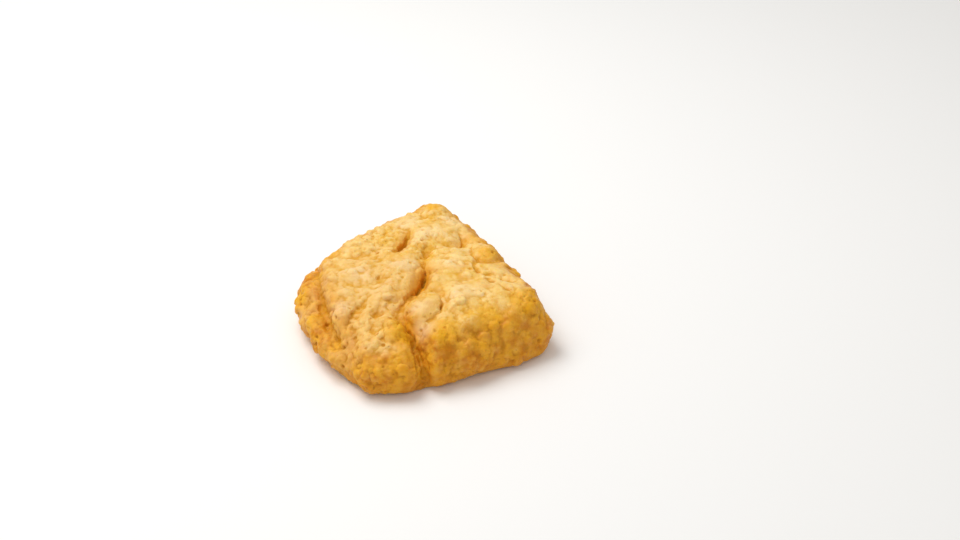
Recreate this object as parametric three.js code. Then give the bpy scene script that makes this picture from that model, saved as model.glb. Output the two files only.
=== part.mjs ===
// One battered and fried fish fillet: a flat-bottomed block of fish in a soft, lumpy crust.
// Millimetres, +Z up. The origin is the middle of the underside's bounding box.
// X runs across the fillet, Y along it. The tall lobes lie towards +X and the thin end towards -X.
//
// The crust is one closed surface. A square grid of points is laid over the fillet like a cloth:
// the middle of the grid is the top, its outer rings run over the shoulder and down the side, and its
// edge is the outline that the fillet stands on. Each point is then moved along the crust's outward
// direction by the lobes, creases, knobs and crags that the fried batter has.
import * as THREE from "three";

// ---- Driving dimensions ----
const THICKNESS = 20.5; // height of the top face over the underside, before its lobes
const GRID = 74; // cells along each side of the grid that is laid over the fillet
const SIDE_RINGS = 15; // outer rings of that grid, which form the shoulder and the side
const SHOULDER_SHARE = 0.66; // share of those rings above the height where the side stands out furthest

// ---- Outline where the side stands out furthest, seen from above, anticlockwise ----
// Each point has the shoulder's inset there: how far in from the outline the top face begins.
const OUTLINE = [
  [42.5, -41, 9],
  [44.5, -26, 8],
  [46, 0, 8],
  [45, 20, 8],
  [41.5, 38, 8],
  [34, 45.5, 9],
  [20, 43, 10],
  [2, 42, 11],
  [-14, 37, 12],
  [-26, 27.5, 11],
  [-32.5, 17, 10],
  [-35, 4, 10],
  [-36, -9, 11],
  [-35, -23, 13],
  [-29, -37, 16],
  [-17, -45, 16],
  [0, -46.5, 12],
  [20, -46.5, 11],
  [35, -46, 11],
];

// ---- Side ----
const WIDEST_AT = 8; // height at which the side stands out furthest
const SHOULDER_SHAPE = 1.2; // 1 is a quarter ellipse, under 1 is fuller, over 1 is flatter
const FOOT_INSET = 4; // how far the side is tucked in where it meets the underside
const FOOT_RELIEF = 0.35; // share of the relief that is left at the foot
const FOOT_RISE = 0.4; // least rise from each ring of the grid to the next one above the underside

// ---- Top face: three lobes of fish, and how their heights run ----
const LOBES = [
  { name: "thin end", x: -11, y: 2, rise: -0.4, reach: [23, 30] },
  { name: "back", x: 24, y: 22, rise: 2.2, reach: [28, 25] },
  { name: "front", x: 19, y: -15, rise: 2.4, reach: [29, 27] },
];
const LOBE_FALL = 2.6; // how much lower a lobe is at its reach than at its middle
const LOBE_BLEND = 1.1; // softness of the joint between two lobes

// ---- Creases: cracks where the batter has parted. Each has a centre line on the plan ----
// A line's points are [x, y, depth there]. lean widens the crease on its left-hand side,
// and step raises the crust on its left-hand side over the crust on the other.
const CREASES = [
  {
    name: "main crease",
    width: 2.1,
    lean: 1.5,
    step: -0.8,
    line: [
      [-11, -54, 7],
      [-9, -42, 7],
      [-7.5, -33, 6],
      [-8.5, -25, 4],
      [-5.5, -18.5, 2.6],
      [1, -14.5, 4],
      [6.5, -9.5, 7],
      [10.5, -3.5, 7],
      [12.5, 2, 4.2],
      [14.5, 7, 2.4],
      [18.5, 10, 2.4],
      [21, 10.5, 1],
    ],
  },
  {
    name: "back notch",
    width: 1.8,
    lean: 1.6,
    step: -0.6,
    line: [
      [8.5, 14.5, 1.5],
      [11.5, 18, 5],
      [14.5, 22, 5],
      [16.5, 26.5, 1],
    ],
  },
  {
    name: "seam between the two tall lobes",
    width: 2,
    lean: 1.3,
    step: 0.8,
    line: [
      [21, 10.5, 1],
      [27, 9.5, 1.6],
      [32, 10, 4],
      [34, 13.5, 3.4],
      [34.5, 18, 1],
    ],
  },
  {
    name: "arc round the small front lobe",
    width: 1.7,
    lean: 1,
    step: 0,
    line: [
      [8, -16, 0.8],
      [9.5, -20.5, 2.8],
      [9, -25.5, 2.4],
      [4.5, -29.5, 1.8],
      [-1, -31, 1.2],
    ],
  },
  {
    name: "ring round the edge knob",
    width: 1.8,
    lean: 1,
    step: 0,
    line: [
      [42, -5, 1.2],
      [37, -8.5, 2],
      [31.5, -6.5, 2],
      [30.5, -1, 1.8],
      [33, 3.5, 1.4],
      [37, 6, 1],
    ],
  },
  {
    name: "pits by the right edge",
    width: 1.7,
    lean: 1,
    step: 0,
    line: [
      [27, -12.5, 0.8],
      [30.5, -17, 2.4],
      [34, -21.5, 2.6],
      [36.5, -26, 1],
    ],
  },
  {
    name: "thin end groove",
    width: 2.2,
    lean: 1.2,
    step: -2,
    line: [
      [-32.5, -27, 2.5],
      [-32, -14, 5],
      [-30, -5, 4.5],
      [-28.5, 2, 4],
      [-25.5, 12, 3],
      [-21.5, 22, 2.5],
      [-19, 29, 2],
    ],
  },
  {
    name: "fold at the front left",
    width: 2,
    lean: 1.2,
    step: 1,
    line: [
      [-15, -7.5, 0.6],
      [-20, -12, 2.4],
      [-24.5, -18, 2.6],
      [-27, -24, 2.2],
      [-29, -31, 1],
    ],
  },
  {
    name: "hollow behind the round lump",
    width: 2.6,
    lean: 1,
    step: 0,
    line: [
      [-4.5, -16, 1],
      [-9, -14.5, 1.8],
      [-14, -16.5, 1.8],
      [-18.5, -22, 1.6],
      [-20, -29, 1],
    ],
  },
];

const CREASE_SHARPNESS = 1.6; // 2 is a round-bottomed crease, less is a sharper one

// ---- Knobs: lumps of batter that stand out of the crust, [x, y, height, radius, rise] ----
const KNOBS = [
  [37.5, -1.5, 20, 6.5, 2.4],
  [31, 38, 19, 7.5, 3.6],
  [-30.5, 17, 11, 8, 2.4],
  [-34, 5.5, 9, 5, 1],
  [-33.5, -3, 12, 6, 2.4],
  [-34.5, -12.5, 9, 7.5, 1.2],
  [-33.5, -22, 10, 6, 2],
  [-26, -11, 16, 6, 1.4],
  [-13, -25, 17, 8, 2.6],
  [-23, -28, 14, 6, 1.4],
  [-17, -38, 12, 8, 2],
  [0, -24, 21, 9, 1.4],
  [33.5, -16, 20, 4.5, 1.2],
  [29, -29, 21, 5, 1],
  [24, 27, 22, 12, 1],
  [-14, 8, 19, 14, 0.8],
];

// ---- Crags: uneven batter at three sizes ----
const CRAGS = [
  { size: 17, height: 1.5 },
  { size: 8, height: 1.5 },
  { size: 4.2, height: 1.1 },
];
const FOLDED_SHARE = 0.45; // share of the crags that are billows, the rest being plain waves
const PLAIN_SIZE = 0.8; // size of the plain waves beside the billows
const SIDE_CRAG_GAIN = 1.25; // the side is rougher than the top face
const CRAG_SEED = 11;

// ---- Small helpers ----
const clamp01 = (v) => Math.min(1, Math.max(0, v));
const smoothstep = (v) => v * v * (3 - 2 * v);

// A repeatable number from 0 to 1 for each corner of a cubic lattice, scattered by large odd numbers.
const SCATTER = { x: 374761393, y: 668265263, z: 2147483629, seed: 1013904223, all: 1274126177 };

function latticeValue(ix, iy, iz, seed) {
  let bits = Math.imul(ix, SCATTER.x) ^ Math.imul(iy, SCATTER.y);
  bits ^= Math.imul(iz, SCATTER.z) ^ Math.imul(seed, SCATTER.seed);
  bits = Math.imul(bits ^ (bits >>> 13), SCATTER.all);
  return ((bits ^ (bits >>> 16)) >>> 0) / 2 ** 32;
}

// Smooth noise from -1 to 1, with lumps about one lattice cell across.
function lumps(p, size, seed) {
  const place = [p.x / size, p.y / size, p.z / size];
  const low = place.map(Math.floor);
  const part = place.map((v, k) => smoothstep(v - low[k]));
  let sum = 0;
  for (let corner = 0; corner < 8; corner++) {
    const step = [corner & 1, (corner >> 1) & 1, (corner >> 2) & 1];
    const weight = step.reduce((w, s, k) => w * (s ? part[k] : 1 - part[k]), 1);
    sum += weight * latticeValue(low[0] + step[0], low[1] + step[1], low[2] + step[2], seed);
  }
  return 2 * sum - 1;
}

// ---- Outline: radius and shoulder inset in a direction from the middle, given in radians ----
const outlineCurve = new THREE.CatmullRomCurve3(
  OUTLINE.map((p) => new THREE.Vector3(...p)),
  true,
  "centripetal",
);
const STEPS_PER_POINT = 40;
const outlineTable = outlineCurve
  .getPoints(STEPS_PER_POINT * OUTLINE.length)
  .map((p) => ({ angle: Math.atan2(p.y, p.x), radius: Math.hypot(p.x, p.y), inset: p.z }))
  .sort((a, b) => a.angle - b.angle);

function outlineAt(angle) {
  const after = outlineTable.findIndex((entry) => entry.angle > angle);
  const b = outlineTable[Math.max(after, 0)];
  const a = outlineTable.at(after < 1 ? -1 : after - 1);
  const span = THREE.MathUtils.euclideanModulo(b.angle - a.angle, 2 * Math.PI) || 1;
  const t = THREE.MathUtils.euclideanModulo(angle - a.angle, 2 * Math.PI) / span;
  return {
    radius: THREE.MathUtils.lerp(a.radius, b.radius, t),
    inset: THREE.MathUtils.lerp(a.inset, b.inset, t),
  };
}

// ---- Height of the top face above the underside ----
function topHeight(x, y) {
  let sum = 0;
  for (const lobe of LOBES) {
    const away = ((x - lobe.x) / lobe.reach[0]) ** 2 + ((y - lobe.y) / lobe.reach[1]) ** 2;
    sum += Math.exp((lobe.rise - LOBE_FALL * away) / LOBE_BLEND);
  }
  return THICKNESS + LOBE_BLEND * Math.log(sum);
}

// ---- Creases ----
// The nearest point of a crease's line: how far it is, how deep the crease is there, and on which
// side of the line x, y is: 1 is straight to the left, -1 straight to the right, 0 beyond its end.
function nearestOnLine(line, x, y) {
  let best = { away: Infinity, side: 0, depth: 0 };
  for (let k = 0; k + 1 < line.length; k++) {
    const [ax, ay, aDepth] = line[k];
    const [bx, by, bDepth] = line[k + 1];
    const dx = bx - ax;
    const dy = by - ay;
    const t = clamp01(((x - ax) * dx + (y - ay) * dy) / (dx * dx + dy * dy));
    const away = Math.hypot(x - ax - t * dx, y - ay - t * dy);
    if (away < best.away) {
      const side = away ? (dx * (y - ay) - dy * (x - ax)) / (Math.hypot(dx, dy) * away) : 0;
      best = { away, side, depth: aDepth + t * (bDepth - aDepth) };
    }
  }
  return best;
}

function creaseRise(p) {
  let rise = 0;
  for (const crease of CREASES) {
    const { away, side, depth } = nearestOnLine(crease.line, p.x, p.y);
    const across = away / (crease.width * THREE.MathUtils.lerp(1, crease.lean, (side + 1) / 2));
    rise -= depth * Math.exp(-(across ** CREASE_SHARPNESS));
    // the step is full a little way from the line and fades out further off
    rise += (crease.step / 2) * side * (1 - Math.exp(-2 * across)) * Math.exp(-across / 2);
  }
  return rise;
}

// ---- Knobs and crags ----
function knobRise(p) {
  let rise = 0;
  for (const [x, y, z, radius, height] of KNOBS) {
    const away = Math.hypot(p.x - x, p.y - y, p.z - z) / radius;
    if (away < 1) rise += height * (1 - away * away) ** 1.5;
  }
  return rise;
}

// Billows: the noise is folded, so that round lumps meet in sharp little valleys.
function cragRise(p, sideways) {
  let rise = 0;
  CRAGS.forEach(({ size, height }, k) => {
    const folded = 0.5 - Math.abs(lumps(p, size, CRAG_SEED + 2 * k));
    const plain = lumps(p, PLAIN_SIZE * size, CRAG_SEED + 2 * k + 1);
    rise += height * THREE.MathUtils.lerp(plain, folded, FOLDED_SHARE);
  });
  return rise * (1 + (SIDE_CRAG_GAIN - 1) * sideways);
}

// ---- The crust ----
// One point of the grid. u and v run from -1 to 1, and the larger of the two says how far out it is.
function crustPoint(u, v) {
  const out = Math.max(Math.abs(u), Math.abs(v));
  const topShare = 1 - (2 * SIDE_RINGS) / GRID;
  // a square ring becomes a round one, with its points spread evenly along it
  const across = u / (out || 1);
  const along = v / (out || 1);
  const angle = Math.atan2(along * Math.sqrt(1 - across ** 2 / 2), across * Math.sqrt(1 - along ** 2 / 2));
  const { radius, inset: shoulderInset } = outlineAt(angle);
  let inset, lift, tilt;
  if (out <= topShare) {
    inset = radius - (radius - shoulderInset) * (out / topShare);
    lift = 1;
    tilt = Math.PI / 2;
  } else {
    // over the shoulder, then down the side and in to the foot
    const down = (out - topShare) / (1 - topShare);
    if (down < SHOULDER_SHARE) {
      tilt = (1 - down / SHOULDER_SHARE) * (Math.PI / 2);
      inset = shoulderInset * (1 - Math.cos(tilt) ** SHOULDER_SHAPE);
      lift = Math.sin(tilt) ** SHOULDER_SHAPE;
    } else {
      tilt = -((down - SHOULDER_SHARE) / (1 - SHOULDER_SHARE)) * (Math.PI / 2);
      inset = FOOT_INSET * (1 - Math.cos(tilt));
      lift = Math.sin(tilt);
    }
  }
  const plan = radius - inset;
  const x = plan * Math.cos(angle);
  const y = plan * Math.sin(angle);
  const top = topHeight(x, y);
  const height = lift >= 0 ? WIDEST_AT + (top - WIDEST_AT) * lift : WIDEST_AT * (1 + lift);
  const point = new THREE.Vector3(x, y, height);
  const outward = new THREE.Vector3(
    Math.cos(tilt) * Math.cos(angle),
    Math.cos(tilt) * Math.sin(angle),
    Math.sin(tilt),
  );
  const rise = creaseRise(point) + knobRise(point) + cragRise(point, Math.cos(tilt));
  point.addScaledVector(outward, rise * THREE.MathUtils.lerp(FOOT_RELIEF, 1, clamp01(height / WIDEST_AT)));
  // the foot stays on the surface that it stands on
  const ringsUp = ((1 - out) * GRID) / 2;
  point.z = ringsUp ? Math.max(point.z, FOOT_RISE * ringsUp) : 0;
  return point;
}

function crustGeometry() {
  const row = GRID + 1;
  const points = [];
  for (let j = 0; j < row; j++)
    for (let i = 0; i < row; i++)
      points.push(crustPoint((2 * i) / GRID - 1, (2 * j) / GRID - 1));
  const faces = [];
  for (let j = 0; j < GRID; j++)
    for (let i = 0; i < GRID; i++) {
      const a = j * row + i;
      const b = a + 1;
      const c = a + row + 1;
      const d = a + row;
      // each cell is split along its shorter diagonal
      if (points[a].distanceTo(points[c]) < points[b].distanceTo(points[d])) faces.push(a, b, c, a, c, d);
      else faces.push(a, b, d, b, c, d);
    }
  // the underside is the flat face inside the grid's edge
  const edge = [];
  for (let i = 0; i < GRID; i++) edge.push(i);
  for (let j = 0; j < GRID; j++) edge.push(j * row + GRID);
  for (let i = GRID; i > 0; i--) edge.push(GRID * row + i);
  for (let j = GRID; j > 0; j--) edge.push(j * row);
  const contour = edge.map((k) => new THREE.Vector2(points[k].x, points[k].y));
  const underside = THREE.ShapeUtils.triangulateShape(contour, []);
  for (const [a, b, c] of underside) faces.push(edge[a], edge[c], edge[b]);

  const geometry = new THREE.BufferGeometry().setFromPoints(points);
  geometry.setIndex(faces);
  geometry.computeVertexNormals();
  return geometry;
}

const batter = new THREE.MeshStandardMaterial({ color: 0xe3ac5c, roughness: 0.55, metalness: 0 });
const fillet = new THREE.Mesh(crustGeometry(), batter);
fillet.name = "fried_fish_fillet";

// the origin is put under the middle of the fillet
fillet.geometry.computeBoundingBox();
const middle = fillet.geometry.boundingBox.getCenter(new THREE.Vector3());
fillet.position.set(-middle.x, -middle.y, 0);

const model = new THREE.Group();
model.add(fillet);
export default model;
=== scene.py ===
# %% [markdown]
# # A battered and fried fish fillet
# This file is a lesson in cells. It dresses a plain solid of a fish fillet, made elsewhere, in the
# soft, lumpy, slightly oily crust that batter gets in hot fat. The solid has the true size and form:
# the lobes of fish, the creases between them and the larger lumps. What is left for Blender is the
# surface that makes it look like food: small lumps of batter, thin cracks, pits left by bubbles, the
# colours of frying, and the gloss.
#
# The first cell loads that solid. It is never moved or changed. Sizes are written in millimetres,
# because that is how crumbs and bubbles are thought of, and one factor turns them into Blender's
# metres.

import math

import bpy
import numpy as np
from mathutils import Matrix, Vector


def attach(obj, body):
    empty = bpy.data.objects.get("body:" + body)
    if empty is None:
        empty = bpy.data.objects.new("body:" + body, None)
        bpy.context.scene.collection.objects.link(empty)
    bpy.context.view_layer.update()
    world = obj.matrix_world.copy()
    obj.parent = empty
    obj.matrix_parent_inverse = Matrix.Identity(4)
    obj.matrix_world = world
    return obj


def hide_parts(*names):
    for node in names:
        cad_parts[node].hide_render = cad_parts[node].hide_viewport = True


MM = 0.001

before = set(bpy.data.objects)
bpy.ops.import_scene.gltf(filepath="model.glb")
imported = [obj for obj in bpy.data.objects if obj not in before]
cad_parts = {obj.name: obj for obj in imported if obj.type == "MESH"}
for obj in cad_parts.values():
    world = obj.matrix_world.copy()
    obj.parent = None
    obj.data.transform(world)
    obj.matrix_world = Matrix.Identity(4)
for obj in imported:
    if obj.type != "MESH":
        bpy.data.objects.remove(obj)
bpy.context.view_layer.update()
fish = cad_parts["fried_fish_fillet"]

# %% [markdown]
# Colours are written as sRGB hex values, as in any paint program. Blender's nodes expect linear
# values, so one function turns the first into the second.


# %% Colours
def linear(hex_colour):
    """An sRGB colour such as "f2c078" as the linear red, green, blue and alpha of a colour socket."""
    parts = [int(hex_colour[k : k + 2], 16) / 255 for k in (0, 2, 4)]
    return [c / 12.92 if c <= 0.04045 else ((c + 0.055) / 1.055) ** 2.4 for c in parts] + [1.0]


print("golden batter, linear:", [round(part, 2) for part in linear("f2ca7c")])

# %% [markdown]
# The camera looks down on the fillet from the front left, as a person who is about to eat it does.
# A long lens keeps the block of fish from looking stretched. Its direction is given by three angles,
# and the matrix is built from them: the camera's own Z axis points back, away from what it sees.

# %% Camera
CAMERA_AT_MM = (-202.6, -459.5, 331.3)
CAMERA_AZIMUTH = math.radians(-26.79)
CAMERA_ELEVATION = math.radians(31.63)
CAMERA_ROLL = math.radians(-0.444)
CAMERA_LENS = 60.12  # millimetres, and so is the sensor
SENSOR_WIDTH = 36

camera = bpy.data.objects.new("camera", bpy.data.cameras.new("camera"))
bpy.context.scene.collection.objects.link(camera)
bpy.context.scene.camera = camera
camera.data.lens = CAMERA_LENS
camera.data.sensor_width = SENSOR_WIDTH
turn = (
    Matrix.Rotation(CAMERA_AZIMUTH, 4, "Z")
    @ Matrix.Rotation(math.pi / 2 - CAMERA_ELEVATION, 4, "X")
    @ Matrix.Rotation(CAMERA_ROLL, 4, "Z")
)
camera.matrix_world = Matrix.Translation(Vector(CAMERA_AT_MM) * MM) @ turn
print("camera stands off, mm:", round(Vector(CAMERA_AT_MM).length))

# %% [markdown]
# Food shows best under a large soft light, placed high and a little behind the plate. It skims over
# the crust, so that each lump has a soft highlight and each crack stays dark. A bright plain
# surround fills the shadows. The lights are square area lamps, because soft shadows come from their
# size, and each is turned to point at the middle of the fillet's foot.

# %% Light
WORLD_STRENGTH = 0.56
# place in metres, width in metres and power in watts
SOFTBOXES = {
    "softbox_above": ((-0.14, 0.22, 0.60), 0.45, 3.0),
    "softbox_front": ((-0.45, -0.65, 0.50), 0.60, 0.6),
}

# with the Standard view, a surface in white light shows its own colour
bpy.context.scene.view_settings.view_transform = "Standard"
world = bpy.data.worlds.new("studio")
world.use_nodes = True
surround = world.node_tree.nodes["Background"]
surround.inputs["Color"].default_value = linear("fbfaf8")
surround.inputs["Strength"].default_value = WORLD_STRENGTH
bpy.context.scene.world = world
for name, (spot, width, power) in SOFTBOXES.items():
    lamp = bpy.data.lights.new(name, "AREA")
    lamp.size = width
    lamp.energy = power
    softbox = bpy.data.objects.new(name, lamp)
    aim = (-Vector(spot)).to_track_quat("-Z", "Y")
    softbox.matrix_world = Matrix.Translation(spot) @ aim.to_matrix().to_4x4()
    bpy.context.scene.collection.objects.link(softbox)
print("softboxes:", len(SOFTBOXES))

# %% [markdown]
# The fillet lies on matt white card, so that nothing takes the eye off the food. A finish is a tree
# of nodes, and such trees come up often in this file: Geometry Nodes make the crust's relief, and
# shader nodes its colours. One small function adds a node to either kind of tree. Its settings are
# the node's own properties, and its inputs are values, sockets or other nodes, by name or number.


# %% White card
def add(tree, kind, inputs=None, **settings):
    """Adds a node. An input that is a node stands for that node's first output in use."""
    node = tree.nodes.new(kind)
    for name, value in settings.items():
        setattr(node, name, value)
    for key, value in (inputs or {}).items():
        if isinstance(value, bpy.types.Node):
            value = next(out for out in value.outputs if out.enabled)
        if isinstance(key, int):
            socket = node.inputs[key]
        else:
            socket = next(one for one in node.inputs if one.name == key and one.enabled)
        if isinstance(value, bpy.types.NodeSocket):
            tree.links.new(value, socket)
        else:
            socket.default_value = value
    return node


# card is pressed paper: it gives the eye an even tone, with no reflection
card = bpy.data.materials.new("matt_white_card")
card.use_nodes = True
card.node_tree.nodes.clear()
paper = add(
    card.node_tree,
    "ShaderNodeBsdfPrincipled",
    {"Base Color": linear("f7f6f4"), "Roughness": 0.8},
)
add(card.node_tree, "ShaderNodeOutputMaterial", {"Surface": paper})
print("finish %s: %d nodes" % (card.name, len(card.node_tree.nodes)))

# %% [markdown]
# The floor is one large square of that card. It could be a curved backdrop, but the camera looks
# down so far that the floor's edge stays out of view. The floor is staging, and no part of the food.

# %% Floor
FLOOR_HALF_WIDTH = 3.0  # metres


def mesh_object(name, mesh):
    """A new object with this mesh, linked into the scene."""
    made = bpy.data.objects.new(name, mesh)
    bpy.context.scene.collection.objects.link(made)
    return made


half = FLOOR_HALF_WIDTH
corners = [(-half, -half, 0), (half, -half, 0), (half, half, 0), (-half, half, 0)]
floor_mesh = bpy.data.meshes.new("floor")
floor_mesh.from_pydata(corners, [], [(0, 1, 2, 3)])
floor_mesh.materials.append(card)
floor = mesh_object("floor", floor_mesh)
print("floor, metres wide:", 2 * half)

# %% [markdown]
# A tree of Geometry Nodes works as a modifier with named inputs, so that its sizes can be changed
# without opening it. Three more functions begin such a tree, end it, and put it on an object. Every
# tree ends in the same two nodes: the first turns scattered copies into real mesh, so that they are
# still there when the shape is saved elsewhere, and the second gives the shape its finish. The
# modifier knows its inputs by their identifiers, not by their names.

# %% Functions that make a Geometry Nodes modifier
SOCKETS = {
    float: "NodeSocketFloat",
    int: "NodeSocketInt",
    bpy.types.Object: "NodeSocketObject",
    bpy.types.Material: "NodeSocketMaterial",
}


def new_tree(name, values):
    """An empty Geometry Nodes tree with an input for each named value, and its input sockets."""
    tree = bpy.data.node_groups.new(name, "GeometryNodeTree")
    tree.is_modifier = True
    face = tree.interface
    face.new_socket(name="Geometry", in_out="INPUT", socket_type="NodeSocketGeometry")
    for key, value in values.items():
        face.new_socket(name=key, in_out="INPUT", socket_type=SOCKETS[type(value)])
    face.new_socket(name="Geometry", in_out="OUTPUT", socket_type="NodeSocketGeometry")
    return tree, tree.nodes.new("NodeGroupInput").outputs


def end_tree(tree, given, shape):
    """Ends a tree: every instance becomes real mesh, and the shape gets its finish."""
    real = add(tree, "GeometryNodeRealizeInstances", {"Geometry": shape})
    dressed = add(tree, "GeometryNodeSetMaterial", {"Geometry": real, "Material": given["Finish"]})
    add(tree, "NodeGroupOutput", {0: dressed})
    print("tree %s: %d nodes" % (tree.name, len(tree.nodes)))


def use_tree(piece, tree, values):
    """Puts the tree on the piece as a modifier with these values."""
    modifier = piece.modifiers.new(tree.name, "NODES")
    modifier.node_group = tree
    for item in tree.interface.items_tree:
        if item.in_out == "INPUT" and item.name in values:
            modifier[item.identifier] = values[item.name]


print("a tree's inputs may be:", [kind.__name__ for kind in SOCKETS])

# %% [markdown]
# ## The crust's shape
# The solid's mesh is made of loose triangles about a millimetre and a half wide. A copy of it is
# merged into one skin and rounded by subdivision. The copy can then be changed freely, because the
# solid itself stays as it is. Every tree gives the crust its finish, so the finish is named here. It
# gets its own nodes near the end of the file.

# %% A copy of the solid to work on
ONE_POINT_WITHIN = 0.01 * MM
SUBDIVISIONS = 2
batter = bpy.data.materials.new("fried_flour_batter")
crust = mesh_object("fried_crust", fish.data.copy())
crust.data.materials.clear()
crust.data.name = "fried_crust"
# shading normals made for the plain solid would not fit the new shape
if crust.data.attributes.get("custom_normal"):
    crust.data.attributes.remove(crust.data.attributes["custom_normal"])
weld = crust.modifiers.new("weld", "WELD")
weld.merge_threshold = ONE_POINT_WITHIN
rounding = crust.modifiers.new("rounding", "SUBSURF")
rounding.levels = SUBDIVISIONS
rounding.render_levels = SUBDIVISIONS
print("copy: %d loose triangles" % len(crust.data.polygons))

# %% [markdown]
# Two lumps of the solid stand a little too proud for a crust that flowed while it was wet, and
# three places of its edge lie a little low. An artist would run a smoothing brush over the first
# and a swelling brush over the others. Here it is done by a rule, which is easier to change: a ball
# is set on each place, and each point of the skin keeps how far it is inside the balls.

# %% Places to ease and to swell
# x, y, z and radius in millimetres
EASED = {"edge knob": (32.5, -1, 22, 10.5), "peak": (26, 38, 23, 8)}
# x, y, z, radius and height of the swelling in millimetres
SWOLLEN = {
    "peak": (30.5, 36, 22.5, 8, 2.0),
    "left edge": (-28, 26, 11.5, 13, 1.2),
    "back shoulder": (-10, 32, 19.5, 12, 2.2),
}


def points_mm(mesh):
    """The places of a mesh's points, in millimetres."""
    flat = np.empty(3 * len(mesh.vertices))
    mesh.vertices.foreach_get("co", flat)
    return flat.reshape(-1, 3) / MM


def nearness(points, x, y, z, radius):
    """How near each point is to the middle of a ball: 1 there, 0 at its edge and outside."""
    return np.clip(1 - np.linalg.norm(points - (x, y, z), axis=1) / radius, 0, 1)


def keep(mesh, name, values):
    """Keeps one number for each point of a mesh under a name."""
    mesh.attributes.new(name, "FLOAT", "POINT").data.foreach_set("value", values)


points = points_mm(crust.data)
keep(crust.data, "ease", np.max([nearness(points, *ball) for ball in EASED.values()], axis=0))
swelling = np.zeros(len(points))
for *ball, height in SWOLLEN.values():
    near = nearness(points, *ball)
    # a soft bell: level in the ball's middle and level at its edge
    swelling = np.maximum(swelling, height * near**2 * (3 - 2 * near))
keep(crust.data, "swell", swelling)
print("points to swell: %d, by up to %.1f mm" % (np.count_nonzero(swelling), swelling.max()))

# %% [markdown]
# The tree blurs the points' positions inside the first balls, most in their middles, and moves the
# points inside the others outwards, along the skin's normal.

# %% Easing and swelling, by Geometry Nodes
EASE_VALUES = {"Blur Steps": 110, "Full Ease At": 0.5, "Finish": batter}
tree, given = new_tree("ease_and_swell", EASE_VALUES)
place = add(tree, "GeometryNodeInputPosition")
ease = add(tree, "GeometryNodeInputNamedAttribute", {"Name": "ease"}, data_type="FLOAT")
how_much = add(tree, "ShaderNodeMapRange", {"Value": ease, "From Max": given["Full Ease At"]})
blurred = add(
    tree,
    "GeometryNodeBlurAttribute",
    {"Value": place, "Iterations": given["Blur Steps"], "Weight": how_much},
    data_type="FLOAT_VECTOR",
)
eased = add(tree, "GeometryNodeSetPosition", {"Geometry": given["Geometry"], "Position": blurred})
normal = add(tree, "GeometryNodeInputNormal")
swell = add(tree, "GeometryNodeInputNamedAttribute", {"Name": "swell"}, data_type="FLOAT")
swell_height = add(tree, "ShaderNodeMath", {0: swell, 1: MM}, operation="MULTIPLY")
outwards = add(tree, "ShaderNodeVectorMath", {0: normal, "Scale": swell_height}, operation="SCALE")
swollen = add(tree, "GeometryNodeSetPosition", {"Geometry": eased, "Offset": outwards})
end_tree(tree, given, swollen)
use_tree(crust, tree, EASE_VALUES)

# %% [markdown]
# Batter drips and spits while it fries, so small lumps set on the crust. They could be modelled one
# by one, but there are over five hundred, so Geometry Nodes scatter them. They come in drifts,
# because a slow noise decides where they may be. Fewer of them set on the tops, where the batter ran
# off, and none on the underside, where the fillet lies.

# %% Sizes of the lumps, and where they may be
# the smallest and the largest are a lump's radius before it is squashed
LUMP_VALUES = {
    "Spacing": 1.5 * MM,
    "Most Per Square Metre": 300000.0,
    "Smallest": 0.5 * MM,
    "Largest": 2.0 * MM,
    "Drift Size": 9.0 * MM,
    "Seed": 5,
    "Finish": batter,
}
tree, given = new_tree("batter_lumps", LUMP_VALUES)
place = add(tree, "GeometryNodeInputPosition")
facing = add(tree, "ShaderNodeSeparateXYZ", {0: add(tree, "GeometryNodeInputNormal")})
drifts_per_metre = add(tree, "ShaderNodeMath", {0: 1.0, 1: given["Drift Size"]}, operation="DIVIDE")
drift = add(tree, "ShaderNodeTexNoise", {"Vector": place, "Scale": drifts_per_metre, "Detail": 1.0})
allowed = 1.0
# what is read, where it starts to count, where it counts in full, and the share at its start
for reads, start, full, at_start in (
    (drift, 0.42, 0.62, 0.0),  # none between the drifts
    (facing.outputs["Z"], 0.95, 0.5, 0.45),  # fewer on the tops than on the sides
    (facing.outputs["Z"], -0.7, -0.3, 0.0),  # none on the underside
):
    share = add(
        tree,
        "ShaderNodeMapRange",
        {"Value": reads, "From Min": start, "From Max": full, "To Min": at_start},
    )
    allowed = add(tree, "ShaderNodeMath", {0: allowed, 1: share}, operation="MULTIPLY")
print("drifts of lumps, mm:", LUMP_VALUES["Drift Size"] / MM)

# %% [markdown]
# Points are spread over the skin at a least distance, and each gets a small ball, squashed, turned
# and sized at random. The seed is fixed, so that the same fillet comes out each time.

# %% Lumps of batter, scattered by Geometry Nodes
SQUASHED = {"Min": (0.9, 0.8, 0.3), "Max": (1.5, 1.2, 0.6)}  # along, across and out of the skin
MOSTLY_SMALL = 2.5  # the higher this power, the rarer are large lumps
BALL_SUBDIVISIONS = 2
spread = add(
    tree,
    "GeometryNodeDistributePointsOnFaces",
    {
        "Mesh": given["Geometry"],
        "Distance Min": given["Spacing"],
        "Density Max": given["Most Per Square Metre"],
        "Density Factor": allowed,
        "Seed": given["Seed"],
    },
    distribute_method="POISSON",
)
ball = add(tree, "GeometryNodeMeshIcoSphere", {"Radius": 1.0, "Subdivisions": BALL_SUBDIVISIONS})
chance = add(
    tree, "FunctionNodeRandomValue", {"Min": 0.0, "Max": 1.0, "Seed": given["Seed"]}, data_type="FLOAT"
)
rarely_large = add(tree, "ShaderNodeMath", {0: chance, 1: MOSTLY_SMALL}, operation="POWER")
radius = add(
    tree,
    "ShaderNodeMapRange",
    {"Value": rarely_large, "To Min": given["Smallest"], "To Max": given["Largest"]},
)
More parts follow.
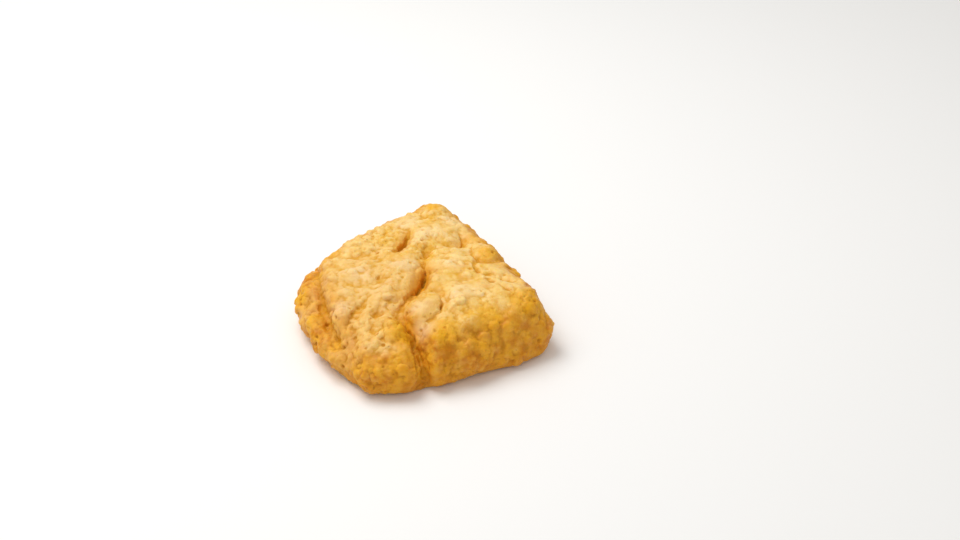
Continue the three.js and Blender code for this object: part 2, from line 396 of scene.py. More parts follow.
squash = add(tree, "FunctionNodeRandomValue", SQUASHED, data_type="FLOAT_VECTOR")
lump_size = add(tree, "ShaderNodeVectorMath", {0: squash, "Scale": radius}, operation="SCALE")
lumps = add(
    tree,
    "GeometryNodeInstanceOnPoints",
    {
        "Points": spread.outputs["Points"],
        "Instance": ball,
        "Rotation": spread.outputs["Rotation"],
        "Scale": lump_size,
    },
)
joined = add(tree, "GeometryNodeJoinGeometry")
tree.links.new(lumps.outputs[0], joined.inputs[0])
tree.links.new(given["Geometry"], joined.inputs[0])
end_tree(tree, given, joined)
use_tree(crust, tree, LUMP_VALUES)

# %% [markdown]
# The balls are still separate shells stuck into the skin. A voxel remesh fuses them: it fills the
# whole shape with small cubes and lays one even skin over it. A little smoothing then rounds the
# joints, as the batter's own flow did.

# %% Fuse skin and lumps
VOXEL = 0.34 * MM
FLOW_FACTOR = 0.5
FLOW_STEPS = 5
fuse = crust.modifiers.new("fuse", "REMESH")
fuse.mode = "VOXEL"
fuse.voxel_size = VOXEL
fuse.use_smooth_shade = True
flow = crust.modifiers.new("flow", "SMOOTH")
flow.factor = FLOW_FACTOR
flow.iterations = FLOW_STEPS
print("voxels, mm:", VOXEL / MM)

# %% [markdown]
# The batter cracks where one lobe of fish meets the next, and a little round the larger lumps. The
# solid has the wide creases, and the thin dark cracks are drawn here as lines, seen from above. A
# line drawn this way is easy to move, which a sculpted crack isn't.

# %% Lines of the cracks
# half the crack's width, then x, y and depth of each point, all in millimetres
CRACKS = {
    "main": (
        0.9,
        [(-18, -52, 0.3), (-17, -44, 0.7), (-15.4, -37, 1.2), (-12.8, -32, 2.2), (-12.6, -29.5, 2.2)]
        + [(-13.3, -24.5, 1.2), (-13.8, -21, 0.8), (-12, -17.3, 0.6), (-9, -14.5, 0.8)]
        + [(-5.8, -12.3, 1.6), (-1.1, -8.8, 2.2), (2, -6, 2.4), (5, -2.2, 2.8), (6.5, 0, 2.6)]
        + [(8, 3.5, 1.2), (9.6, 7, 0.6), (14, 11, 0.3)],
    ),
    "back_notch": (
        1.1,
        [(1.5, 17, 0.3), (5, 19.8, 1.8), (7.5, 21.6, 3.6), (9.8, 23.4, 3.4), (11.5, 25.5, 2)]
        + [(12.8, 28.5, 0.4)],
    ),
    "seam": (0.8, [(16, 11.5, 0.4), (22, 10.5, 0.7), (26, 11, 1.6), (28.5, 13, 1.6), (29, 16, 0.3)]),
    "arc": (
        0.8,
        [(2, -16, 0.3), (3.2, -19, 1.2), (2.4, -22.8, 1.2), (1.4, -25.6, 2), (-0.6, -28, 0.9)]
        + [(-3.6, -29.3, 0.7), (-6.5, -30, 0.3)],
    ),
    "ring": (
        1.4,
        [(36, -4, 0.2), (32, -7, 0.7), (27, -5.5, 1), (26, 0, 0.9), (28.5, 4.5, 0.5), (32, 6, 0.2)],
    ),
    "below_ring": (1.3, [(25.5, -4, 0.4), (23.5, -7.5, 0.9), (22.4, -11.4, 1.3), (23, -14.5, 0.3)]),
    "edge_pits": (
        1.4,
        [(23, -17, 0.3), (23.4, -20.8, 1.6), (25, -23.5, 0.6), (26, -27.5, 1.6), (26.5, -30.5, 0.3)],
    ),
    "thin_end": (
        1.2,
        [(-29, 18, 0.2), (-32, 8, 0.6), (-34.3, 1, 1.1), (-35.3, -4.4, 0.9), (-36.5, -10, 0.6)]
        + [(-37.5, -18, 0.2)],
    ),
    "front_fold": (
        1.0,
        [(-24, -8, 0.2), (-26.5, -11, 1.1), (-29.5, -14, 0.8), (-33, -17.5, 0.9), (-34.5, -25, 0.2)],
    ),
}
line_points = []
line_edges = []
line_depths = []
line_widths = []
for width, points in CRACKS.values():
    first = len(line_points)
    line_points += [(x * MM, y * MM, 0) for x, y, depth in points]
    line_edges += [(first + k, first + k + 1) for k in range(len(points) - 1)]
    line_depths += [depth * MM for x, y, depth in points]
    line_widths += [width * MM] * len(points)
line_mesh = bpy.data.meshes.new("crack_lines")
line_mesh.from_pydata(line_points, line_edges, [])
keep(line_mesh, "depth", line_depths)
keep(line_mesh, "width", line_widths)
crack_lines = mesh_object("crack_lines", line_mesh)
print("cracks: %d, drawn with %d points" % (len(CRACKS), len(line_points)))

# %% [markdown]
# A Geometry Nodes tree now finds, for each point of the skin, the nearest point of these lines. It
# looks straight down, so heights are left out. Noise moves the place that is asked for, so that the
# cracks get the ragged course of batter that tore.

# %% The nearest point of a crack, found by Geometry Nodes
CRACK_VALUES = {
    "Lines": crack_lines,
    "Line Step": 0.25 * MM,
    "Raggedness": 2.0 * MM,
    "Ragged Size": 3.0 * MM,
    "Gap Size": 6.0 * MM,
    "Oily Width": 3.4 * MM,
    "Finish": batter,
}
FLAT = (1.0, 1.0, 0.0)  # a place times this lies at height 0
NO_WAY = (0.5, 0.5, 0.5)  # the middle grey of a colour noise, which stands for no move
tree, given = new_tree("batter_cracks", CRACK_VALUES)
drawn = add(tree, "GeometryNodeObjectInfo", {"Object": given["Lines"]}).outputs["Geometry"]
wire = add(tree, "GeometryNodeMeshToCurve", {"Mesh": drawn})
smooth_wire = add(tree, "GeometryNodeCurveSplineType", {"Curve": wire}, spline_type="CATMULL_ROM")
fine_wire = add(
    tree,
    "GeometryNodeResampleCurve",
    {"Curve": smooth_wire, "Length": given["Line Step"]},
    mode="LENGTH",
)
dots = add(tree, "GeometryNodeCurveToMesh", {"Curve": fine_wire})
place = add(tree, "GeometryNodeInputPosition")
rags_per_metre = add(tree, "ShaderNodeMath", {0: 1.0, 1: given["Ragged Size"]}, operation="DIVIDE")
noise = add(tree, "ShaderNodeTexNoise", {"Vector": place, "Scale": rags_per_metre, "Detail": 1.0})
way = add(tree, "ShaderNodeVectorMath", {0: noise.outputs["Color"], 1: NO_WAY}, operation="SUBTRACT")
ragged = add(tree, "ShaderNodeVectorMath", {0: way, "Scale": given["Raggedness"]}, operation="SCALE")
asked = add(tree, "ShaderNodeVectorMath", {0: place, 1: ragged}, operation="ADD")
asked_flat = add(tree, "ShaderNodeVectorMath", {0: asked, 1: FLAT}, operation="MULTIPLY")
nearest = add(
    tree, "GeometryNodeSampleNearest", {"Geometry": dots, "Sample Position": asked_flat}, domain="POINT"
)
depth = add(tree, "GeometryNodeInputNamedAttribute", {"Name": "depth"}, data_type="FLOAT")
width = add(tree, "GeometryNodeInputNamedAttribute", {"Name": "width"}, data_type="FLOAT")
line_place, line_depth, line_width = (
    add(
        tree,
        "GeometryNodeSampleIndex",
        {"Geometry": dots, "Value": value, "Index": nearest},
        data_type=kind,
        domain="POINT",
    )
    for value, kind in ((place, "FLOAT_VECTOR"), (depth, "FLOAT"), (width, "FLOAT"))
)
apart = add(tree, "ShaderNodeVectorMath", {0: asked_flat, 1: line_place}, operation="DISTANCE")
away = apart.outputs["Value"]
print("step along the cracks, mm:", CRACK_VALUES["Line Step"] / MM)

# %% [markdown]
# The skin sinks near those points, most where the drawn crack is deep, and another noise leaves it
# shallow in places. How far each point sank is kept, and so is how much oil soaked the batter beside
# the crack, because the finish is darker in both. The darkening in and beside the crack is partly the
# oil and partly painted shade.

# %% How deep and how oily each point is
gaps_per_metre = add(tree, "ShaderNodeMath", {0: 1.0, 1: given["Gap Size"]}, operation="DIVIDE")
gap_noise = add(tree, "ShaderNodeTexNoise", {"Vector": place, "Scale": gaps_per_metre, "Detail": 1.0})
normal = add(tree, "GeometryNodeInputNormal")
facing = add(tree, "ShaderNodeSeparateXYZ", {0: normal})
# what is read, its start and end, and the result at each
sink, gaps, not_below, beside_crack, deep = (
    add(
        tree,
        "ShaderNodeMapRange",
        {"Value": reads, "From Min": start, "From Max": end, "To Min": at_start, "To Max": at_end},
    )
    for reads, start, end, at_start, at_end in (
        (away, 0.0, line_width, line_depth, 0.0),
        (gap_noise, 0.35, 0.6, 0.55, 1.15),
        (facing.outputs["Z"], -0.4, 0.1, 0.0, 1.0),
        (away, 0.0, given["Oily Width"], 1.0, 0.0),
        (line_depth, 0.4 * MM, 2 * MM, 0.0, 1.0),
    )
)
beside_crack.interpolation_type = "SMOOTHSTEP"
sunk = add(tree, "ShaderNodeMath", {0: sink, 1: gaps}, operation="MULTIPLY")
sunk = add(tree, "ShaderNodeMath", {0: sunk, 1: not_below}, operation="MULTIPLY")
sunk_mm = add(tree, "ShaderNodeMath", {0: sunk, 1: 1 / MM}, operation="MULTIPLY")
# the oil share beside the crack also paints shade there
oil = add(tree, "ShaderNodeMath", {0: beside_crack, 1: deep}, operation="MULTIPLY")
oil = add(tree, "ShaderNodeMath", {0: oil, 1: not_below}, operation="MULTIPLY")
marked = given["Geometry"]
for name, value in (("crack", sunk_mm), ("oil", oil)):
    marked = add(
        tree,
        "GeometryNodeStoreNamedAttribute",
        {"Geometry": marked, "Name": name, "Value": value},
        data_type="FLOAT",
        domain="POINT",
    )
print("oil beside the cracks, mm:", round(CRACK_VALUES["Oily Width"] / MM, 1))

# %% [markdown]
# A crack goes in halfway between straight down and straight in. Straight in, it would open wide on a
# steep side, and straight down it would slice the side off. A short blur, only where the skin sank,
# takes the tears out of the steep walls.

# %% Cracks sunk into the skin
UP = (0.0, 0.0, 1.0)
WALL_BLUR_STEPS = 2
leaning = add(tree, "ShaderNodeVectorMath", {0: normal, 1: UP}, operation="ADD")
way_out = add(tree, "ShaderNodeVectorMath", {0: leaning}, operation="NORMALIZE")
inwards = add(tree, "ShaderNodeMath", {0: sunk, 1: -1.0}, operation="MULTIPLY")
move = add(tree, "ShaderNodeVectorMath", {0: way_out, "Scale": inwards}, operation="SCALE")
cracked = add(tree, "GeometryNodeSetPosition", {"Geometry": marked, "Offset": move})
blurred = add(
    tree,
    "GeometryNodeBlurAttribute",
    {"Value": place, "Iterations": WALL_BLUR_STEPS, "Weight": sunk_mm},
    data_type="FLOAT_VECTOR",
)
easy_walls = add(tree, "GeometryNodeSetPosition", {"Geometry": cracked, "Position": blurred})
end_tree(tree, given, easy_walls)
use_tree(crust, tree, CRACK_VALUES)

# %% [markdown]
# The relief between the lumps follows a rule, so it is a tree too: each point of the skin moves
# along its normal by a sum of shapes. All of them are looked up at a place that noise has pushed
# about, so that none looks regular. The largest are waves: swells are slow and soft, and puffs are a
# folded wave, whose value has lost its sign. That gives round tops that meet in little valleys, as
# wet batter does when it boils in the fat.

# %% Sizes of the relief, and its waves
RELIEF_VALUES = {
    "Swell Size": 8.0 * MM,
    "Swell Height": 0.9 * MM,
    "Puff Size": 4.5 * MM,
    "Puff Height": 0.35 * MM,
    "Pebble Size": 2.7 * MM,
    "Pebble Height": 0.44 * MM,
    "Crumb Size": 1.5 * MM,
    "Crumb Height": 0.3 * MM,
    "Pit Size": 3.4 * MM,
    "Pit Height": 0.7 * MM,
    "Warp Size": 3.0 * MM,
    "Warp Height": 0.9 * MM,
    "Patch Size": 13.0 * MM,
    "Finish": batter,
}
tree, given = new_tree("batter_relief", RELIEF_VALUES)
place = add(tree, "GeometryNodeInputPosition")
# how many times each size goes into a metre, which is a texture's scale
per_metre = {
    name: add(tree, "ShaderNodeMath", {0: 1.0, 1: given[name + " Size"]}, operation="DIVIDE")
    for name in ("Swell", "Puff", "Pebble", "Crumb", "Pit", "Warp", "Patch")
}
noise = add(tree, "ShaderNodeTexNoise", {"Vector": place, "Scale": per_metre["Warp"], "Detail": 2.0})
way = add(tree, "ShaderNodeVectorMath", {0: noise.outputs["Color"], 1: NO_WAY}, operation="SUBTRACT")
warp = add(tree, "ShaderNodeVectorMath", {0: way, "Scale": given["Warp Height"]}, operation="SCALE")
warped = add(tree, "ShaderNodeVectorMath", {0: place, 1: warp}, operation="ADD")
# a slow wave of each size, between -1 and 1, and mostly near 0
waves = {
    name: add(
        tree,
        "ShaderNodeTexNoise",
        {"Vector": warped, "Scale": per_metre[name], "Detail": 0.0},
        normalize=False,
    )
    for name in ("Swell", "Puff")
}
# the folded wave seldom rises above a half, so it is doubled
folded = add(tree, "ShaderNodeMath", {0: waves["Puff"]}, operation="ABSOLUTE")
puffs = add(tree, "ShaderNodeMath", {0: folded, 1: 2.0}, operation="MULTIPLY")
print("swells, mm:", round(RELIEF_VALUES["Swell Size"] / MM, 1))

# %% [markdown]
# Pebbles and crumbs are domes, one over each cell of a Voronoi pattern, and they make the crust look
# dry and crisp. Pits are where bubbles burst. They use such a pattern too, but only a quarter of
# its cells: each cell has a random colour, and those with the most red hold a pit.

# %% Domes and pits of the relief
DOME_REACH = 0.7  # in squared cell sizes: where a dome has come down to the valleys
PITS_SHARE = 0.25
# out from a cell's middle, in cell sizes: full depth up to the first, level skin from the second
PIT_HOLE = {"From Min": 0.1, "From Max": 0.32, "To Min": 1.0, "To Max": 0.0}
domes = {}
for name in ("Pebble", "Crumb"):
    cell = add(tree, "ShaderNodeTexVoronoi", {"Vector": warped, "Scale": per_metre[name]})
    squared = add(tree, "ShaderNodeMath", {0: cell, 1: 2.0}, operation="POWER")
    falling = {"Value": squared, "From Max": DOME_REACH, "To Min": 1.0, "To Max": 0.0}
    domes[name] = add(tree, "ShaderNodeMapRange", falling)
pit_cell = add(tree, "ShaderNodeTexVoronoi", {"Vector": warped, "Scale": per_metre["Pit"]})
pit_hole = add(
    tree, "ShaderNodeMapRange", {"Value": pit_cell, **PIT_HOLE}, interpolation_type="SMOOTHSTEP"
)
pit_lot = add(tree, "ShaderNodeSeparateXYZ", {0: pit_cell.outputs["Color"]})
pit_here = add(tree, "ShaderNodeMath", {0: pit_lot, 1: 1 - PITS_SHARE}, operation="GREATER_THAN")
pits = add(tree, "ShaderNodeMath", {0: pit_hole, 1: pit_here}, operation="MULTIPLY")
print("kinds of dome:", len(domes))

# %% [markdown]
# Not every place is equally rough. A slow noise makes rough and smooth patches. The tall lobes
# stayed smooth, because their batter ran off, and so did the front face, while loose batter made the
# sides and the thin end rougher. The underside was pressed flat. Each of these is a factor, and
# they are multiplied. The broad left lobe is nearly level, but has its crumbs, so a factor of its
# own lowers its swells alone.

# %% How rough each place is
# what is calmed, x, y, z and radius in millimetres, and the factor in the middle
CALM = (
    ("all", -14, 4, 22, 30, 0.85),  # left lobe
    ("swells", -14, 4, 22, 30, 0.5),
    ("all", 15, -18, 22, 26, 0.55),  # right lobe
    ("all", -6.5, -27, 21, 12, 0.5),  # small lobe
)
CALM_CORE = 0.5  # the share of the radius inside which a place is calmed in full
# the noise's range, and the factor at each end
PATCHES = {"From Min": 0.38, "From Max": 0.62, "To Min": 0.6, "To Max": 1.2}
where = add(tree, "ShaderNodeSeparateXYZ", {0: place})
normal = add(tree, "GeometryNodeInputNormal")
facing = add(tree, "ShaderNodeSeparateXYZ", {0: normal})
patch = add(tree, "ShaderNodeTexNoise", {"Vector": place, "Scale": per_metre["Patch"], "Detail": 1.0})
patches = add(tree, "ShaderNodeMapRange", {"Value": patch, **PATCHES})
# what it is for, what is read, where it starts to count, where it counts in full, the factor there
factors = [
    ("all", where.outputs["X"], -26 * MM, -34 * MM, 1.15),  # the thin end
    ("all", facing.outputs["Z"], 0.5, 0.2, 1.35),  # the sides
    ("all", facing.outputs["Y"], -0.45, -0.8, 0.6),  # the front face
    ("all", facing.outputs["Z"], -0.3, -0.8, 0.45),  # the underside
]
for shapes, x, y, z, radius, in_middle in CALM:
    middle = (x * MM, y * MM, z * MM)
    apart = add(tree, "ShaderNodeVectorMath", {0: place, 1: middle}, operation="DISTANCE")
    edge = radius * MM
    factors.append((shapes, apart.outputs["Value"], edge, CALM_CORE * edge, in_middle))
rough = {"all": patches, "swells": 1.0}
for shapes, reads, start, full, at_full in factors:
    factor = add(
        tree,
        "ShaderNodeMapRange",
        {"Value": reads, "From Min": start, "From Max": full, "To Min": 1.0, "To Max": at_full},
        interpolation_type="SMOOTHSTEP",
    )
    rough[shapes] = add(tree, "ShaderNodeMath", {0: rough[shapes], 1: factor}, operation="MULTIPLY")
print("factors of roughness:", len(factors))

# %% [markdown]
# The shapes are added up, each times its height, and the sum moves the skin. Each shape has a middle
# level that counts as no move, so that the fillet keeps its size. On the underside the skin is sunk a
# little more, because its tops were pressed flat, and nothing may sink below the plane that the
# fillet lies on.

# %% Relief added to the skin
SUNK_BELOW = 0.3 * MM
ABOVE_FLOOR = (-1.0, -1.0, 0.0)  # the least that each coordinate may be: only heights are changed
rise = 0.0
# the shape, its middle level, its name, and what it is multiplied by
for shape, middle, name, times in (
    (waves["Swell"], 0.0, "Swell", rough["swells"]),
    (puffs, 0.4, "Puff", 1.0),
    (domes["Pebble"], 0.5, "Pebble", 1.0),
    (domes["Crumb"], 0.5, "Crumb", 1.0),
    (pits, 0.0, "Pit", -1.0),
):
    level = add(tree, "ShaderNodeMath", {0: shape, 1: middle}, operation="SUBTRACT")
    share = add(tree, "ShaderNodeMath", {0: level, 1: times}, operation="MULTIPLY")
    tall = add(tree, "ShaderNodeMath", {0: share, 1: given[name + " Height"]}, operation="MULTIPLY")
    rise = add(tree, "ShaderNodeMath", {0: rise, 1: tall}, operation="ADD")
rise = add(tree, "ShaderNodeMath", {0: rise, 1: rough["all"]}, operation="MULTIPLY")
# from skin that leans over to skin that faces the floor
sunk_below = add(
    tree,
    "ShaderNodeMapRange",
    {"Value": facing.outputs["Z"], "From Min": -0.5, "From Max": -0.9, "To Max": SUNK_BELOW},
)
rise = add(tree, "ShaderNodeMath", {0: rise, 1: sunk_below}, operation="SUBTRACT")
move = add(tree, "ShaderNodeVectorMath", {0: normal, "Scale": rise}, operation="SCALE")
moved = add(tree, "GeometryNodeSetPosition", {"Geometry": given["Geometry"], "Offset": move})
lifted = add(tree, "ShaderNodeVectorMath", {0: place, 1: ABOVE_FLOOR}, operation="MAXIMUM")
resting = add(tree, "GeometryNodeSetPosition", {"Geometry": moved, "Position": lifted})
end_tree(tree, given, resting)
use_tree(crust, tree, RELIEF_VALUES)

# %% [markdown]
# The skin now has more faces than it needs where it is flat. Decimation takes them out where they
# matter least and keeps them where the relief is fine.

# %% Fewer faces where the crust is flat
FACES_KEPT = 0.42
thin_out = crust.modifiers.new("thin_out", "DECIMATE")
thin_out.ratio = FACES_KEPT
print("share of faces kept:", FACES_KEPT)

# %% [markdown]
# The finish needs to know where the hollows are, because it paints the batter darker in its cracks
# and valleys, partly for oil and partly as painted shade, and paler on its tops, partly creamy batter
# and partly a painted highlight. A hollow is a place that lies below its own surroundings. The tree
# blurs the positions of the skin's points, and measures how far each point lies below its blurred
# place, along the normal. A short blur finds pits and valleys, a long one finds cracks. The results,
# in millimetres, and how steep the skin stands are kept as attributes, which a material can read.

# %% Hollows and steepness, measured by Geometry Nodes
BLURS = {"Short Blur": 8, "Long Blur": 110, "Widest Blur": 320, "Finish": batter}
tree, given = new_tree("crust_shades", BLURS)
place = add(tree, "GeometryNodeInputPosition")
normal = add(tree, "GeometryNodeInputNormal")
measures = {}
for name, blur_name in (("pit_depth", "Short Blur"), ("crack_depth", "Long Blur")):
    around = add(
        tree,
        "GeometryNodeBlurAttribute",
        {"Value": place, "Iterations": given[blur_name]},
        data_type="FLOAT_VECTOR",
    )
    below = add(tree, "ShaderNodeVectorMath", {0: around, 1: place}, operation="SUBTRACT")
    depth = add(tree, "ShaderNodeVectorMath", {0: below, 1: normal}, operation="DOT_PRODUCT")
    in_metres = depth.outputs["Value"]
    measures[name] = add(tree, "ShaderNodeMath", {0: in_metres, 1: 1 / MM}, operation="MULTIPLY")
soft_normal = add(
    tree,
    "GeometryNodeBlurAttribute",
    {"Value": normal, "Iterations": given["Widest Blur"]},
    data_type="FLOAT_VECTOR",
)
measures["facing_up"] = add(tree, "ShaderNodeSeparateXYZ", {0: soft_normal}).outputs["Z"]
shape = given["Geometry"]
for name, value in measures.items():
    shape = add(
        tree,
        "GeometryNodeStoreNamedAttribute",
        {"Geometry": shape, "Name": name, "Value": value},
        data_type="FLOAT",
        domain="POINT",
    )
end_tree(tree, given, shape)
use_tree(crust, tree, BLURS)

# %% [markdown]
# The stack of modifiers is now turned into a plain mesh, and the modifiers and the crack lines are
# removed. The numbers kept at the points come along, and their spread is printed, because the
# finish's ranges were chosen from it.

# %% Turn the result into a plain mesh
KEPT = ("pit_depth", "crack_depth", "facing_up", "crack", "oil")
bpy.context.view_layer.update()
evaluated = crust.evaluated_get(bpy.context.evaluated_depsgraph_get())
plain = bpy.data.meshes.new_from_object(evaluated)
crust.modifiers.clear()
crust.data = plain
crust.data.name = "fried_crust"
bpy.data.objects.remove(crack_lines)
for name in KEPT:
    values = np.empty(len(plain.vertices))
    plain.attributes[name].data.foreach_get("value", values)
    print(name, np.percentile(values, (1, 10, 50, 90, 99)).round(2))
print("crust: %d points, %d faces" % (len(plain.vertices), len(plain.polygons)))

# %% [markdown]
# Five kinds of place on the crust are marked one by one, because no rule finds them. Thick drops of
# batter stayed clear and amber, because oil went right through them, and amber along the front edge
# is painted shade on the front face. The pale marks are painted highlights, where wet tops shone. The
# broad lobe carries painted shade, a little darker than its neighbours. The thin end and the lower
# left are painted lighter and less orange, and the valley along the thin end went brown. Each mark
# is a ball that fades towards its edge.

# %% Amber drops and front shade, painted highlights, painted lobe shade, lighter end, brown places
# x, y, z and radius in millimetres
MARKS = {
    # the balls at y -35 to -37 along the front edge paint the front face's shade; the rest are clear
    # amber drops
    "amber": [(31, -2.5, 22, 5), (-37, 17, 12, 6), (27, 36, 23, 4), (-38, 0, 12, 5)]
    + [(-36, -17, 10, 5), (-3, -37, 19, 7), (28, -35, 20, 8), (14, -37, 19, 7), (-17, -29, 17, 8)],
    # painted highlights, where wet tops shone in the light
    "pale": [(-30.5, -8, 19.8, 7), (12, -23, 23, 8), (-9, -32, 18.5, 7), (30, 26, 21.5, 7)]
    + [(-6, -24, 22, 6), (16, -4, 24, 7), (-16, 8, 22, 7), (19, 21, 23, 8), (15, 31, 23.4, 8)]
    + [(1, 5, 22, 7)],
    # painted shade: the broad lobe a little darker, where less light fell
    "dull": [(-13, 4, 22, 24), (-20, -10, 20, 16)],
    # the thin end and the lower left, lighter and less orange
    "dry": [(-35, 6, 13, 14), (-31, -20, 14, 16)],
    "brown": [(-35.5, -1.8, 13.4, 5), (-35, -6.5, 11.4, 5), (-31.6, 11.9, 15, 4), (-32.4, 6, 13, 4)],
}
points = points_mm(plain)
for name, marks in MARKS.items():
    keep(plain, name, np.max([nearness(points, *mark) for mark in marks], axis=0))
    print(name, "marks:", len(marks))

# %% [markdown]
# ## The crust's finish
# Fried batter is a dry foam of flour that soaked up oil. It is golden where it faced the hot fat. On
# the thickest lumps it is painted pale and creamy, partly its own colour and partly a painted
# highlight, and in its cracks amber to brown, partly where oil collected and partly as painted
# shade. It lets a little light in, and it is glossy only in patches, where the oil lies.
#
# The finish reads the numbers kept at the points, and noises in the object's own coordinates. Each
# noise has the size of something real, such as a patch that browned together or a film of oil.

# %% What the finish reads
# flour batter, set in hot oil: it gives the eye a warm, mostly matt gold with a soft, moist shine
batter.use_nodes = True
tree = batter.node_tree
tree.nodes.clear()
place = add(tree, "ShaderNodeTexCoord").outputs["Object"]
height = add(tree, "ShaderNodeSeparateXYZ", {0: place}).outputs["Z"]
at_point = {
    name: add(tree, "ShaderNodeAttribute", attribute_name=name).outputs["Fac"]
    for name in (*KEPT, *MARKS)
}
# size in millimetres, and how many finer layers are laid over it
NOISES = {
    "patch": (9, 4.0),
    "mottle": (2.2, 5.0),
    "cream": (7, 3.0),
    "toast": (6, 6.0),
    "browned": (5, 5.0),
    "film": (3.5, 4.0),
    "gloss": (4, 3.0),
}
noises = {
    name: add(tree, "ShaderNodeTexNoise", {"Vector": place, "Scale": 1 / (size * MM), "Detail": finer})
    for name, (size, finer) in NOISES.items()
}
print("the finish reads", len(at_point), "numbers at the points and", len(noises), "noises")

# %% [markdown]
# Each colour covers the ones before it by a share, and each share grows or falls as what it reads
# goes from a start to an end. The shares stand in one table, because it says how this batter was
# fried and where shade and highlights are painted on it: how brown and shaded its sides are, how
# pale its tops, how oily and shaded its cracks.

# %% How much each colour covers
# what is read, its start and end, and the share at each
SHARES = {
    "patch": (noises["patch"], 0.38, 0.62, 0.0, 1.0),
    "mottle": (noises["mottle"], 0.45, 0.75, 0.0, 0.6),
    "cream": (noises["cream"], 0.56, 0.68, 0.0, 0.5),
    "toast": (noises["toast"], 0.55, 0.75, 0.0, 0.65),
    "browned": (noises["browned"], 0.38, 0.62, 0.0, 1.0),
    "film": (noises["film"], 0.38, 0.62, 1.0, 0.86),
    # the steep sides turn deeper amber: partly browning, partly painted shade on faces turned from the
    # light
    "steep": (at_point["facing_up"], 0.86, 0.64, 0.0, 1.0),
    "not_below": (at_point["facing_up"], -0.75, -0.3, 0.4, 1.0),
    # paler on the tops of lumps: partly creamy batter, partly a painted highlight
    "top": (at_point["pit_depth"], -0.06, -0.26, 0.0, 0.6),
    # front-edge amber is painted shade, pale marks are painted highlights, dull marks are painted shade
    "amber": (at_point["amber"], 0.0, 0.6, 0.0, 0.75),
    "pale": (at_point["pale"], 0.0, 0.8, 0.0, 0.45),
    "dull": (at_point["dull"], 0.0, 0.6, 0.0, 0.35),
    "dry": (at_point["dry"], 0.0, 0.6, 0.0, 0.4),
    "brown": (at_point["brown"], 0.0, 0.7, 0.0, 0.5),
    # darker and more orange towards the bottom
    "foot": (height, 9 * MM, 1 * MM, 0.0, 0.5),
    # pit, deep, oil and crack paint hollows and cracks darker: partly oil, partly painted shade
    "pit": (at_point["pit_depth"], 0.0, 0.2, 0.0, 0.8),
    "deep": (at_point["crack_depth"], 0.25, 1.4, 0.0, 0.75),
    "oil": (at_point["oil"], 0.0, 1.0, 0.0, 0.55),
    "crack": (at_point["crack"], 0.5, 1.8, 0.0, 0.95),
}
shares = {
    name: add(
        tree,
        "ShaderNodeMapRange",
        {"Value": reads, "From Min": start, "From Max": end, "To Min": at_start, "To Max": at_end},
    )
    for name, (reads, start, end, at_start, at_end) in SHARES.items()
}
# these are wide fades, whose ends would show as edges if they weren't soft
for name in ("steep", "foot", *MARKS):
    shares[name].interpolation_type = "SMOOTHSTEP"
# the sides' browning and painted shade are less under a film of oil, and sides and foot less on the
# underside
for name, by in (("steep", "film"), ("steep", "not_below"), ("foot", "not_below")):
    shares[name] = add(tree, "ShaderNodeMath", {0: shares[name], 1: shares[by]}, operation="MULTIPLY")
print("shares:", len(shares))

# %% [markdown]
# Small open pores are left where bubbles burst late. They are finer than the mesh can hold, so they
# are drawn with a pattern that is used twice: here as a darker tint, which is painted shade inside
# the pores, and further down as dents.

# %% Pores
PORE_SPACING = 2.1 * MM
PORES_SHARE = 0.18  # how many cells of the pattern hold a pore
# the pores' darker tint is painted shade inside them
PORE_SHADE = 0.3
# as for the pits, out from a cell's middle, in cell sizes
PORE_HOLE = {"From Min": 0.06, "From Max": 0.18, "To Min": 1.0, "To Max": 0.0}
pore_cell = add(tree, "ShaderNodeTexVoronoi", {"Vector": place, "Scale": 1 / PORE_SPACING})
pore_hole = add(
    tree, "ShaderNodeMapRange", {"Value": pore_cell, **PORE_HOLE}, interpolation_type="SMOOTHSTEP"
)
pore_lot = add(tree, "ShaderNodeSeparateXYZ", {0: pore_cell.outputs["Color"]})
pore_here = add(tree, "ShaderNodeMath", {0: pore_lot, 1: 1 - PORES_SHARE}, operation="GREATER_THAN")
pore = add(tree, "ShaderNodeMath", {0: pore_hole, 1: pore_here}, operation="MULTIPLY")
shares["pore"] = add(tree, "ShaderNodeMath", {0: pore, 1: PORE_SHADE}, operation="MULTIPLY")
print("pores, mm apart:", PORE_SPACING / MM)

# %% [markdown]
# The colours are laid one over another, from the plain golden batter to the painted shade of the
# pores, as glazes are in a painting. Three of them are themselves a mix of two: the sides, a deeper
# amber that is partly browning and partly painted shade, are more or less browned, and the tops with
# their painted highlight and the valleys with their painted shade are deeper in colour on the steep
# sides than above.

# %% Colours of frying
MIXED = {
    # the sides' deeper amber: partly browning, partly painted shade
    "side": ("e8a622", "cd7c08", "browned"),
    # pale tops: partly creamy batter, partly a painted highlight
    "top": ("f8d78e", "e8a628", "steep"),
    # darker valleys: partly oil, partly painted shade
    "valley_oil_and_shade": ("dc9e26", "c07c10", "steep"),
}
mixed = {
    name: add(
        tree,
        "ShaderNodeMix",
        {"Factor": shares[by], "A": linear(first), "B": linear(second)},
        data_type="RGBA",
    )
    for name, (first, second, by) in MIXED.items()
}
PLAIN_BATTER = "e8b242"
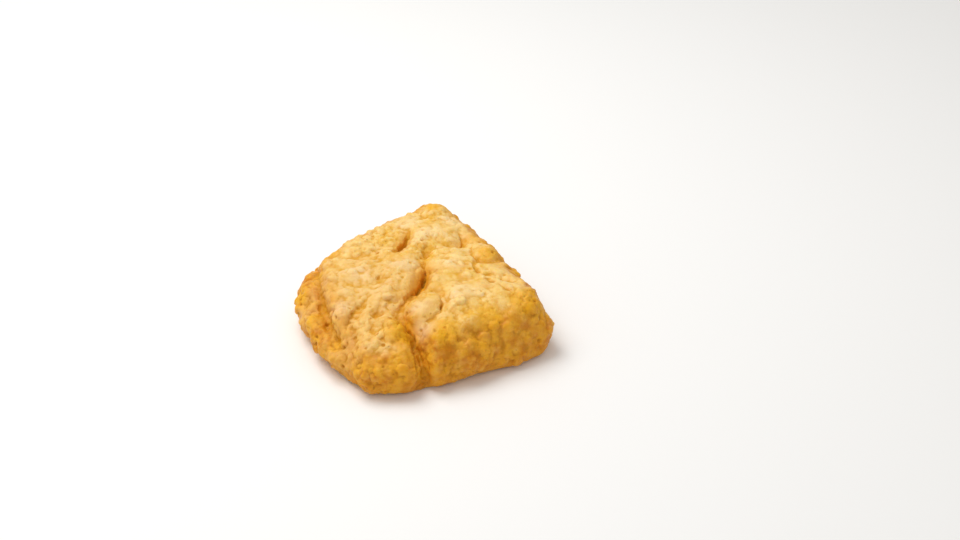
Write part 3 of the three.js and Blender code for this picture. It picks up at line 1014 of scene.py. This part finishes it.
# Several layers below are painted light and shade: the sides, valleys, cracks and pores are darker
# partly or wholly as painted shade, the tops and pale marks lighter as painted highlights, and the dull
# marks and the front amber darker as painted shade.
LAYERS = {
    "patch": linear("f2ca7c"),
    "mottle": linear("f7d88e"),
    "cream": linear("f5d8a2"),
    "toast": linear("da9624"),
    "steep": mixed["side"],
    "top": mixed["top"],
    "dull": linear("e2b06c"),
    "dry": linear("f0c274"),
    "amber": linear("ecac18"),
    "pale": linear("f8dcaa"),
    "brown": linear("c8821c"),
    "foot": linear("cc8010"),
    "pit": mixed["valley_oil_and_shade"],
    "deep": linear("d29014"),
    "oil": linear("e6a428"),
    "crack": linear("cc901e"),
    "pore": linear("b4701c"),
}
colour = linear(PLAIN_BATTER)
for name, layer in LAYERS.items():
    covered = {"Factor": shares[name], "A": colour, "B": layer}
    colour = add(tree, "ShaderNodeMix", covered, data_type="RGBA")
print("layers of colour:", len(LAYERS))

# %% [markdown]
# The finest relief is left to bump maps: pebbles of about a millimetre, as folded waves, the grain
# of the dried batter, and the pores' dents. Each bump starts from the surface that the one before it
# left. Real grain is a few tenths of a millimetre at most, and too fine to show from where the
# camera stands, so it is drawn at about half a millimetre.

# %% Fine grain, as bump
PEBBLE_SIZE = 1.2 * MM
GRAIN_SIZE = 0.45 * MM
wave = add(
    tree,
    "ShaderNodeTexNoise",
    {"Vector": place, "Scale": 1 / PEBBLE_SIZE, "Detail": 1.0},
    normalize=False,
)
pebble = add(tree, "ShaderNodeMath", {0: wave}, operation="ABSOLUTE")
grain = add(tree, "ShaderNodeTexNoise", {"Vector": place, "Scale": 1 / GRAIN_SIZE, "Detail": 2.0})
surface = {}
# the pattern, its strength, its height, and whether it goes in
for pattern, strength, tall, goes_in in (
    (pebble, 0.4, 0.35 * MM, False),
    (grain, 0.8, 0.2 * MM, False),
    (pore, 0.8, 0.3 * MM, True),
):
    inputs = {"Height": pattern, "Strength": strength, "Distance": tall, **surface}
    surface = {"Normal": add(tree, "ShaderNodeBump", inputs, invert=goes_in)}
print("grain, mm:", GRAIN_SIZE / MM)

# %% [markdown]
# One Principled shader puts it together. Frying oil bends light almost as glass does. The batter
# under it is porous and dull, so its own reflection is weak, and a thin clear coat stands for the
# oil. Light enters the foam and comes out again a millimetre or two away, most of all the red light,
# which makes the batter look soft.

# %% Batter
OIL_IOR = 1.47
DULL_REFLECTION = 0.16
OIL_FILM = 0.05
OIL_ROUGHNESS = 0.2
LIGHT_LET_IN = 0.3
LIGHT_REACH = 2.5 * MM
REACH_OF_RED_GREEN_BLUE = (1.0, 0.6, 0.25)
# the noise's range, and the roughness at each end: moist with oil, and dry
GLOSS = {"From Min": 0.35, "From Max": 0.65, "To Min": 0.35, "To Max": 0.6}
roughness = add(tree, "ShaderNodeMapRange", {"Value": noises["gloss"], **GLOSS})
skin = add(
    tree,
    "ShaderNodeBsdfPrincipled",
    {
        "Base Color": colour,
        "Roughness": roughness,
        "IOR": OIL_IOR,
        "Specular IOR Level": DULL_REFLECTION,
        "Coat Weight": OIL_FILM,
        "Coat Roughness": OIL_ROUGHNESS,
        "Subsurface Weight": LIGHT_LET_IN,
        "Subsurface Radius": REACH_OF_RED_GREEN_BLUE,
        "Subsurface Scale": LIGHT_REACH,
        **surface,
    },
)
add(tree, "ShaderNodeOutputMaterial", {"Surface": skin})
print("finish %s: %d nodes" % (batter.name, len(tree.nodes)))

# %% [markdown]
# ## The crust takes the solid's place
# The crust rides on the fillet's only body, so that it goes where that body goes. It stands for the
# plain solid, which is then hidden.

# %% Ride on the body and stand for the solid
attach(crust, "root")
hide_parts("fried_fish_fillet")
print(crust.name, "stands for", fish.name)
